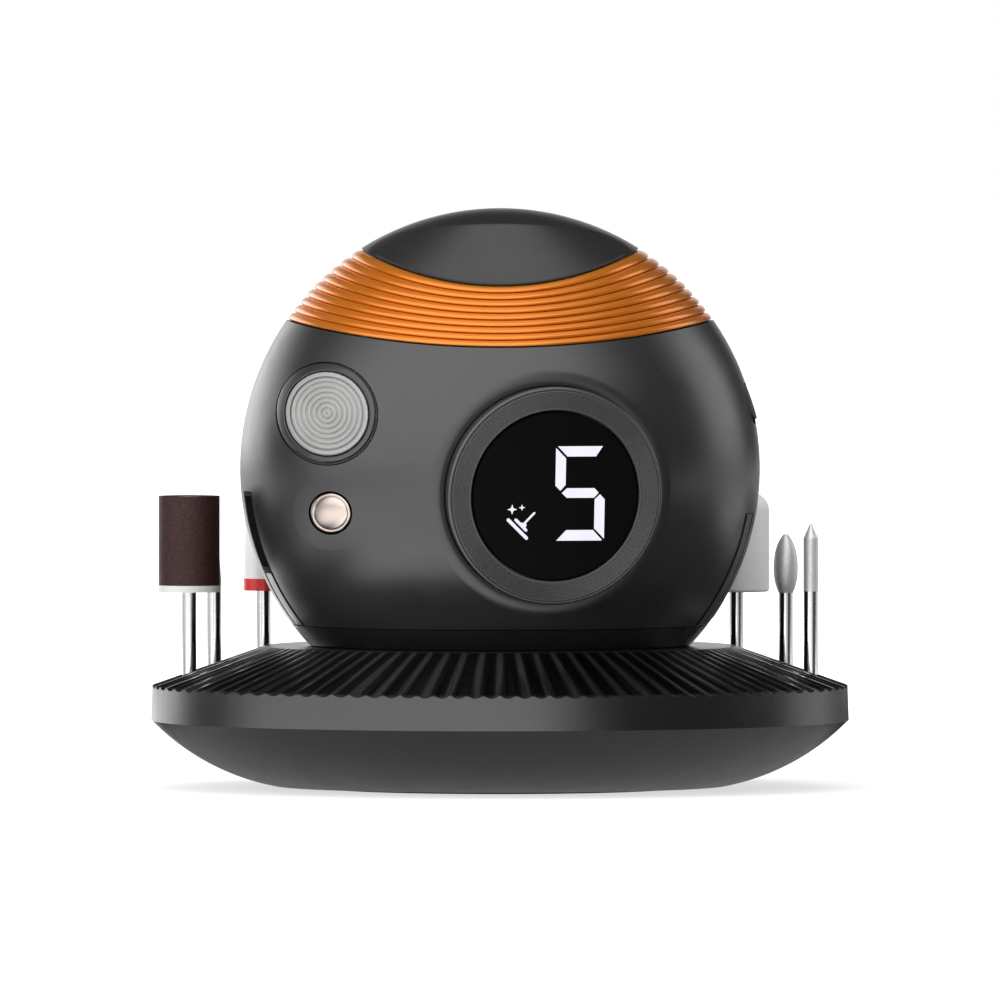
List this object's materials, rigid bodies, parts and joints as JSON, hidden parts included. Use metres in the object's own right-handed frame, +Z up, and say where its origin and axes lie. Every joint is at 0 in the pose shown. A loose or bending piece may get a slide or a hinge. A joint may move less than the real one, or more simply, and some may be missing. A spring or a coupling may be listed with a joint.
{
  "type": "electric nail trimmer",
  "caption": "Ball-shaped control unit with a dial, display, lamp and button, on a round ribbed base that holds rotary nail bits.",
  "frame": {"origin": "centre of the base's underside, on the surface it stands on", "axes": "+Z up; the display and lamp face -Y; +X is the side of the display"},
  "size_m": [0.1154, 0.1154, 0.096],
  "materials": {
    "shell": "satin dark grey moulded plastic",
    "neck": "glossy black",
    "base": "satin dark grey moulded plastic",
    "band": "satin orange",
    "dial": "fine turned grooves",
    "black_glass": "polished black",
    "lens": "frosted, with rings",
    "button_metal": "rose gold plated",
    "trim": "satin grey",
    "inner_plastic": "moulded black",
    "white_plastic": "moulded white",
    "rubber": "matt",
    "board": "green circuit board",
    "battery": "shrink sleeve",
    "steel": "zinc plated",
    "socket": "plated",
    "chrome": "polished",
    "cutter": "diamond grit",
    "drum_core": "white plastic",
    "abrasive": "brown abrasive",
    "ceramic": "white ceramic",
    "collar": "red plastic",
    "felt": "pressed felt"
  },
  "bodies": {
    "base": {"base_bowl": "base", "foot_ring": "rubber", "ribbed_deck": "base", "ballast_plate": "steel", "base_screws": "steel", "bit_grommets": "rubber"},
    "ball": {"front_shell": "shell", "rear_shell": "shell", "shell_screws": "steel", "neck_ring": "neck", "bottom_plate": "inner_plastic", "bottom_screws": "steel", "ribbed_band": "band", "top_cap": "shell", "top_frame": "inner_plastic", "frame_screws": "steel", "dial_carrier": "inner_plastic", "dial_screws": "steel", "encoder_board": "board", "display_glass": "black_glass", "display_module": "inner_plastic", "lamp_bezel": "shell", "lamp_lens": "lens", "lamp_reflector": "white_plastic", "lamp_board": "board", "power_switch": "inner_plastic", "left_strip": "trim", "right_strip": "trim", "slot_liner": "inner_plastic", "handpiece_socket": "socket", "rocker_frame": "inner_plastic", "rocker_pin": "steel", "direction_switch": "inner_plastic", "main_board": "board", "battery_cells": "battery", "battery_holder": "inner_plastic", "charge_board": "board", "usb_port": "steel"},
    "dial": {"dial_ring": "dial", "dial_magnet": "steel"},
    "power_button": {"power_button": "button_metal"},
    "side_key": {"side_key": "inner_plastic"},
    "port_flap": {"port_flap": "rubber"},
    "drum_bit": {"drum_shank": "chrome", "drum_core": "drum_core", "sanding_sleeve": "abrasive"},
    "cone_bit": {"cone_shank": "chrome", "cone_head": "cutter"},
    "ceramic_bit": {"ceramic_shank": "chrome", "ceramic_collar": "collar", "ceramic_head": "ceramic"},
    "needle_bit": {"needle_shank": "chrome", "needle_head": "cutter"},
    "flame_bit": {"flame_shank": "chrome", "flame_head": "cutter"},
    "felt_bit": {"felt_shank": "chrome", "felt_head": "felt"}
  },
  "joints": [
    {"name": "ball_lift", "type": "slide", "parent": "base", "child": "ball", "axis": [0, 0, 1], "range_m": [0, 0.03]},
    {"name": "dial_turn", "type": "hinge", "parent": "ball", "child": "dial", "pos_m": [0, 0, 0.05298], "axis": [0.2173, -0.9724, -0.0854], "continuous": true},
    {"name": "power_press", "type": "slide", "parent": "ball", "child": "power_button", "axis": [0, 1, 0], "range_m": [0, 0.0008], "stiffness_N_per_m": 800},
    {"name": "key_rock", "type": "hinge", "parent": "ball", "child": "side_key", "pos_m": [0.03802, -0.0025, 0.06295], "axis": [0, 1, 0], "range_deg": [0, 8]},
    {"name": "flap_open", "type": "hinge", "parent": "ball", "child": "port_flap", "pos_m": [0.03701, 0.01061, 0.03328], "axis": [0.2756, -0.9613, 0], "range_deg": [0, 100], "stiffness_Nm_per_rad": 0.0005},
    {"name": "drum_bit_lift", "type": "slide", "parent": "base", "child": "drum_bit", "axis": [0, 0, 1], "range_m": [0, 0.03]},
    {"name": "cone_bit_lift", "type": "slide", "parent": "base", "child": "cone_bit", "axis": [0, 0, 1], "range_m": [0, 0.03]},
    {"name": "ceramic_bit_lift", "type": "slide", "parent": "base", "child": "ceramic_bit", "axis": [0, 0, 1], "range_m": [0, 0.03]},
    {"name": "needle_bit_lift", "type": "slide", "parent": "base", "child": "needle_bit", "axis": [0, 0, 1], "range_m": [0, 0.03]},
    {"name": "flame_bit_lift", "type": "slide", "parent": "base", "child": "flame_bit", "axis": [0, 0, 1], "range_m": [0, 0.03]},
    {"name": "felt_bit_lift", "type": "slide", "parent": "base", "child": "felt_bit", "axis": [0, 0, 1], "range_m": [0, 0.03]}
  ]
}
